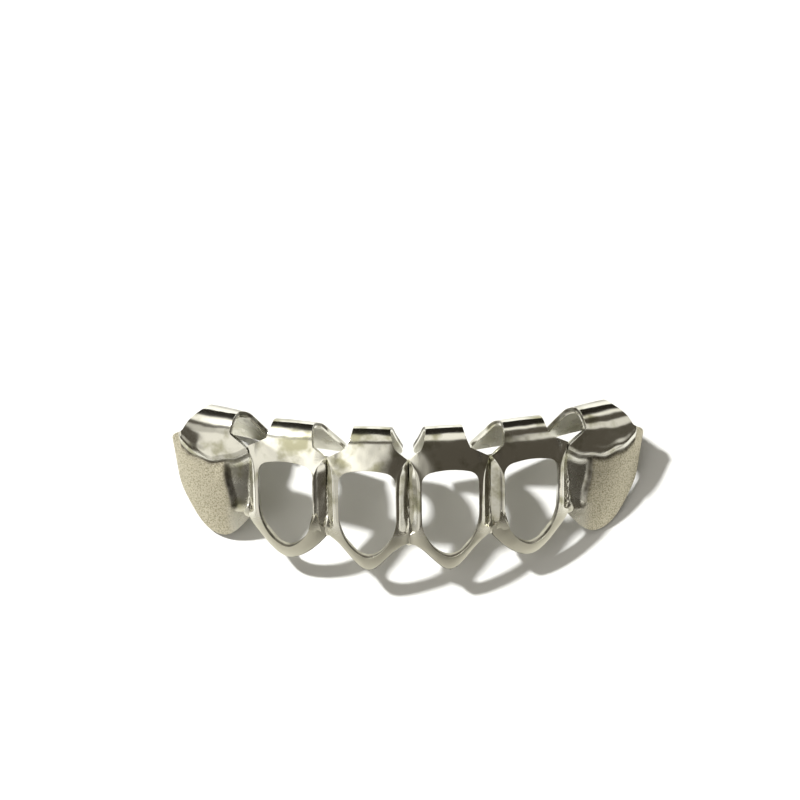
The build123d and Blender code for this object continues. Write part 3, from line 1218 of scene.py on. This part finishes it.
@dataclass(frozen=True)
class PlatedMetal:
    """Warm plated metal: polished, satin on the chins and blasted on the canine panels. It is darkened
    with painted shade, and with dark solder on the seams, where the pieces keep it.

    Scales are in features for a millimetre, and limits are where a noise starts and ends to show.
    """

    polished: Triple = (0.83, 0.82, 0.74)
    # Olive smudges: partly tarnish, partly painted reflection shading on the polished metal
    smudge_and_reflection_tint: Triple = (0.40, 0.39, 0.27)
    satin: Triple = (0.60, 0.58, 0.48)
    blasted: Triple = (0.60, 0.56, 0.44)
    pitted: Triple = (0.37, 0.34, 0.24)
    # Colour of the painted shade, and of the dark solder on the seams
    dark_shade_and_solder: Triple = (0.06, 0.05, 0.035)
    polished_roughness: float = 0.12
    satin_roughness: float = 0.34
    blasted_roughness: float = 0.42
    smudge_and_reflection_roughness: float = 0.05
    shade_and_solder_roughness: float = 0.3
    # How far the painted shade and the solder darken, varied in patches by a noise
    least_patina: float = 0.7
    stain_patina: float = 0.26
    smudge_and_reflection_scale: float = 0.55
    smudge_and_reflection_limits: Pair = (0.46, 0.70)
    dark_patchiness_scale: float = 1.4
    dark_patchiness_limits: Pair = (0.35, 0.65)
    grain_scale: float = 9.0
    grain_limits: Pair = (0.36, 0.58)
    wave_scale: float = 0.6
    wave_height: float = 0.22
    polished_height: float = 0.004
    satin_height: float = 0.035
    blasted_height: float = 0.16
    shade_and_solder_height: float = 0.08
    bump_strength: float = 0.6
    bump_distance: float = 0.0004

    def make(self) -> bpy.types.Material:
        """Builds the material.

        Returns:
            The material, which reads the looks that the pieces keep.
        """
        made = bpy.data.materials.new("plated_metal")
        made.use_nodes = True
        graph = Graph(made.node_tree)
        shader = made.node_tree.nodes["Principled BSDF"]
        place = graph.node("TexCoord")["Object"]
        place = graph.node("Mapping", Vector=place, Scale=(1.0 / MM,) * 3)["Vector"]
        satin, blast, patina = (graph.node("Attribute", {"attribute_name": name})["Fac"] for name in LOOKS)
        # Smudges of tarnish that also paint reflection shading onto the polished metal
        smudge_and_reflection = graph.rise(graph.grain(place, self.smudge_and_reflection_scale, 3.0), *self.smudge_and_reflection_limits)
        dark_patchiness = graph.rise(graph.grain(place, self.dark_patchiness_scale, 3.0), *self.dark_patchiness_limits)
        grains = graph.grain(place, self.grain_scale)
        # Painted shade and dark solder, darker in patches
        patina = patina * (self.least_patina + dark_patchiness * self.stain_patina)
        panel = graph.mix(graph.rise(grains, *self.grain_limits), self.pitted, self.blasted)
        colour = graph.mix(smudge_and_reflection, self.polished, self.smudge_and_reflection_tint)
        colour = graph.mix(satin, colour, self.satin)
        colour = graph.mix(blast, colour, panel)
        colour = graph.mix(patina, colour, self.dark_shade_and_solder)
        rough = self.polished_roughness + smudge_and_reflection * self.smudge_and_reflection_roughness
        rough = rough + satin * (self.satin_roughness - self.polished_roughness)
        rough = rough + blast * (self.blasted_roughness - self.polished_roughness)
        rough = rough + patina * self.shade_and_solder_roughness
        waves = graph.grain(place, self.wave_scale, 1.0) * self.wave_height
        brushed = graph.grain(place, self.grain_scale, 3.0)
        brushed = brushed * (satin * self.satin_height + self.polished_height)
        rough_grains = grains * (blast * self.blasted_height + patina * self.shade_and_solder_height)
        height = waves + brushed + rough_grains
        lift = {"Strength": self.bump_strength, "Distance": self.bump_distance}
        bump = graph.node("Bump", Height=height, **lift)["Normal"]
        graph.feed(shader.inputs["Base Color"], colour)
        graph.feed(shader.inputs["Roughness"], rough)
        graph.feed(shader.inputs["Normal"], bump)
        shader.inputs["Metallic"].default_value = 1.0
        return made


def matte(name: str, colour: Triple) -> bpy.types.Material:
    """A plain matte material.

    Args:
        name: Name of the material.
        colour: Its red, green and blue.

    Returns:
        The material.
    """
    made = bpy.data.materials.new(name)
    made.use_nodes = True
    shader = made.node_tree.nodes["Principled BSDF"]
    shader.inputs["Base Color"].default_value = (*colour, 1.0)
    shader.inputs["Roughness"].default_value = 0.8
    shader.inputs["Specular IOR Level"].default_value = 0.0
    return made


@dataclass(frozen=True)
class Panel:
    """One soft light panel on the studio's dome, between limits of a direction to the right, back and up.

    A limit past 1 is open, and side blur is how wide the soft edges to the right and left are.
    """

    right: Pair
    back: Pair
    up: Pair
    strength: float
    side_blur: float


@dataclass(frozen=True)
class Studio:
    """The studio's light: a dim dome with soft panels and a key lamp at the back left."""

    dim: float = 0.085
    dim_tint: Triple = (1.0, 0.88, 0.70)
    panel_tint: Triple = (1.0, 0.98, 0.92)
    panels: tuple[Panel, ...] = (
        Panel((-2.0, -0.16), (-2.0, 0.13), (0.66, 2.0), 0.9, 0.42),
        Panel((-2.0, -0.16), (-2.0, 0.13), (0.3, 2.0), 0.5, 0.42),
        Panel((-0.85, 0.29), (0.31, 0.66), (0.2, 2.0), 0.95, 0.05),
        Panel((0.29, 0.85), (0.52, 0.66), (0.2, 2.0), 0.95, 0.05),
        Panel((0.5, 2.0), (-0.12, 0.2), (0.2, 2.0), 0.7, 0.3),
        Panel((-0.85, 2.0), (-2.0, -0.34), (0.05, 0.3), 0.56, 0.12),
        Panel((0.38, 2.0), (-2.0, -0.3), (-0.02, 0.3), 0.34, 0.2),
        Panel((-2.0, -0.38), (-2.0, -0.3), (-0.02, 0.3), 0.22, 0.2),
        Panel((-2.0, -0.55), (-0.55, -0.13), (0.3, 0.62), 0.38, 0.2),
    )
    edge_blur: float = 0.05
    dim_back: Pair = (0.62, 0.74)
    dim_loss: float = 0.75
    table_colour: Triple = (0.67, 0.67, 0.65)
    table_size: float = 3.0
    key_azimuth: float = 144.0
    key_elevation: float = 45.2
    key_distance: float = 0.6
    key_size: float = 0.042
    key_power: float = 6.8

    def dome(self) -> None:
        """Makes the dome of light round the table."""
        made = bpy.data.worlds.new("studio")
        made.use_nodes = True
        graph = Graph(made.node_tree)
        way = graph.node("TexCoord")["Generated"]
        parts = graph.node("SeparateXYZ", Vector=way)
        light: object = 0.0
        for panel in self.panels:
            mask: object = panel.strength
            for axis, (low, high) in zip("XYZ", (panel.right, panel.back, panel.up)):
                blur = panel.side_blur / 2 if axis == "X" else self.edge_blur
                if low > -1.0:
                    mask = graph.rise(parts[axis], low - blur, low + blur) * mask
                if high < 1.0:
                    mask = (1.0 - graph.rise(parts[axis], high - blur, high + blur)) * mask
            light = mask + light
        dim = (1.0 - graph.rise(parts["Y"], *self.dim_back) * self.dim_loss) * self.dim
        dim = graph.node("Background", Color=(*self.dim_tint, 1.0), Strength=dim)
        bright = graph.node("Background", Color=(*self.panel_tint, 1.0), Strength=light)
        both = graph.node("AddShader", i0=dim["Background"], i1=bright["Background"])
        graph.feed(made.node_tree.nodes["World Output"].inputs["Surface"], both["Shader"])
        bpy.context.scene.world = made

    def key(self) -> None:
        """Adds the key lamp, small enough for clear shadows."""
        turn = Matrix.Rotation(math.radians(self.key_azimuth), 3, "Z")
        lift = Matrix.Rotation(-math.radians(self.key_elevation), 3, "Y")
        spot = turn @ lift @ Vector((self.key_distance, 0.0, 0.0))
        data = bpy.data.lights.new("key", "AREA")
        data.shape = "DISK"
        data.size = self.key_size
        data.energy = self.key_power
        lamp = bpy.data.objects.new("key", data)
        bpy.context.scene.collection.objects.link(lamp)
        lamp.location = spot
        lamp.rotation_euler = (-spot).to_track_quat("-Z", "Y").to_euler()

    def table(self) -> Piece:
        """The pale table that the bar lies on.

        Returns:
            The table, which is only part of the stage.
        """
        deselect_all()
        bpy.ops.mesh.primitive_plane_add(size=self.table_size)
        made = just_added("table")
        made.data.materials.append(matte("pale_table", self.table_colour))
        return made

    def make(self) -> None:
        """Sets up the table and the light."""
        self.table()
        self.dome()
        self.key()
        bpy.context.scene.view_settings.view_transform = "Standard"


@dataclass
class Grill:
    """The whole bar: three caps to a side and the seams between them."""

    central_width: float = 6.2
    lateral_width: float = 6.25
    canine_width: float = 6.85
    turns: Triple = (6.3, 17.5, 31.0)
    # The seam at the inner side of each cap, and how far apart the seeds of their lumps are
    SEAMS: ClassVar[tuple[str, ...]] = ("seam_middle", "seam_lateral", "seam_canine")
    SEAM_SEED: ClassVar[float] = 4.0

    def contacts(self) -> list[Vector]:
        """Points in plan at the contacts of the right side.

        Returns:
            The middle of the bar, and then the outer contact of each cap.
        """
        widths = (self.central_width, self.lateral_width, self.canine_width)
        ways = (Vector((math.cos(math.radians(turn)), sine(turn))) for turn in self.turns)
        return list(accumulate((way * width for way, width in zip(ways, widths)), initial=Vector((0.0, 0.0))))

    def caps(self) -> list[Cap]:
        """Gives the sizes of the caps.

        Returns:
            The central, the lateral and the canine cap of the right side.
        """
        at = self.contacts()
        middles = [tuple((a + b) / 2) for a, b in zip(at, at[1:])]
        return [
            OpenCap(
                "central_cap", self.central_width, self.turns[0], middles[0],
                Hook(11.4, 0.0, 0.55, self.central_width / 2 + OVERLAP),
                inner=Flank(2.2, 3.2, 9.0, 2.145, 1.67, 0.9, chin=1.0, flare=1.8),
                outer=Flank(2.85, 3.5, 9.0, 1.605, 1.13, 0.45, chin=0.8, groove=0.48),
            ),
            OpenCap(
                "lateral_cap", self.lateral_width, self.turns[1], middles[1],
                Hook(10.85, 0.7, 0.55, self.lateral_width / 2 + OVERLAP),
                inner=Flank(2.85, 3.5, 9.0, 2.145, 1.87, 1.95, groove=0.84),
                outer=Flank(3.75, 4.2, 9.35, 1.605, 1.33, 0.45, chin=0.5, groove=0.5),
                window_low=1.0, window_height=7.05,
            ),
            ClosedCap(
                "canine_cap", self.canine_width, self.turns[2], middles[2],
                Hook(9.95, 1.75, 0.95, self.canine_width / 2 + OVERLAP, heel=0.0),
                inner=Flank(3.75, 4.2, 9.35, 1.925, 1.925, 1.65, corner=1.5, flare=0.8),
                outer=Flank(8.5, 8.7, 9.0, 2.85, 0.85, 0.45),
            ),
        ]

    def copied(self, piece: Piece, name: str) -> Piece:
        """A copy of a piece with its own mesh.

        Args:
            piece: The piece.
            name: Name of the copy.

        Returns:
            The copy, which isn't mirrored yet.
        """
        copy = bpy.data.objects.new(name, piece.data.copy())
        copy.data.name = name
        bpy.context.scene.collection.objects.link(copy)
        return copy

    def build(self) -> list[Piece]:
        """Builds every cap and seam, right and left.

        Returns:
            The pieces in their places.
        """
        made = []
        caps = self.caps()
        for cap in caps:
            right = cap.build()
            left = self.copied(right, f"{cap.name}_left")
            right.name = f"{cap.name}_right"
            for piece, side in ((right, Side.RIGHT), (left, Side.LEFT)):
                set_down(piece, cap.centre, cap.turn, side)
                made.append(piece)
        turns = (-self.turns[0], *self.turns)
        for i, (name, cap, point) in enumerate(zip(self.SEAMS, caps, self.contacts())):
            turn = (turns[i] + turns[i + 1]) / 2
            for side in (Side.RIGHT, Side.LEFT) if i else (Side.RIGHT,):
                label = f"{name}_{side.name.lower()}" if i else name
                seed = self.SEAM_SEED * i + side.value
                made.append(Seam(label, tuple(point), turn, cap.inner, caps[0].hook, seed).build(side))
        return made


def main() -> None:
    """Builds the bar, its table, its light and its camera."""
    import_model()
    finish = PlatedMetal().make()
    for piece in Grill().build():
        piece.data.materials.append(finish)
        piece.data.shade_smooth()
        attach(piece, "root")
        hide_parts(NODE)
        log.info("%s: %d faces", piece.name, len(piece.data.polygons))
    Studio().make()
    Viewpoint().make()


if __name__ == "__main__":
    main()
